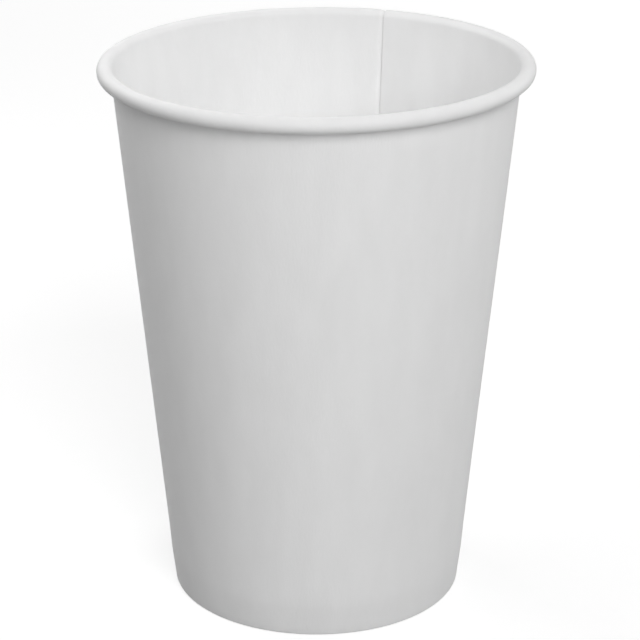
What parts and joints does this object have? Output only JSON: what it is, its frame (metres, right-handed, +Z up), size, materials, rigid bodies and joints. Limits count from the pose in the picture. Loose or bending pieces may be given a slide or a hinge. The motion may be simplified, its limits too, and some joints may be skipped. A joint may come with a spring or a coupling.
{
  "type": "paper cup for cold drinks",
  "caption": "Single-wall paper cup with straight tapered sides, a rolled brim, a lapped side seam and a recessed bottom held in a folded hem.",
  "frame": {"origin": "centre of the foot, on the surface that the cup stands on", "axes": "+Z up along the cup's axis; the edge of the side seam inside the cup lies on +Y"},
  "size_m": [0.086, 0.086, 0.1115],
  "materials": {
    "wall_board": "satin",
    "bottom_board": "satin"
  },
  "bodies": {
    "root": {"sidewall": "wall_board", "bottom": "bottom_board"}
  },
  "joints": []
}
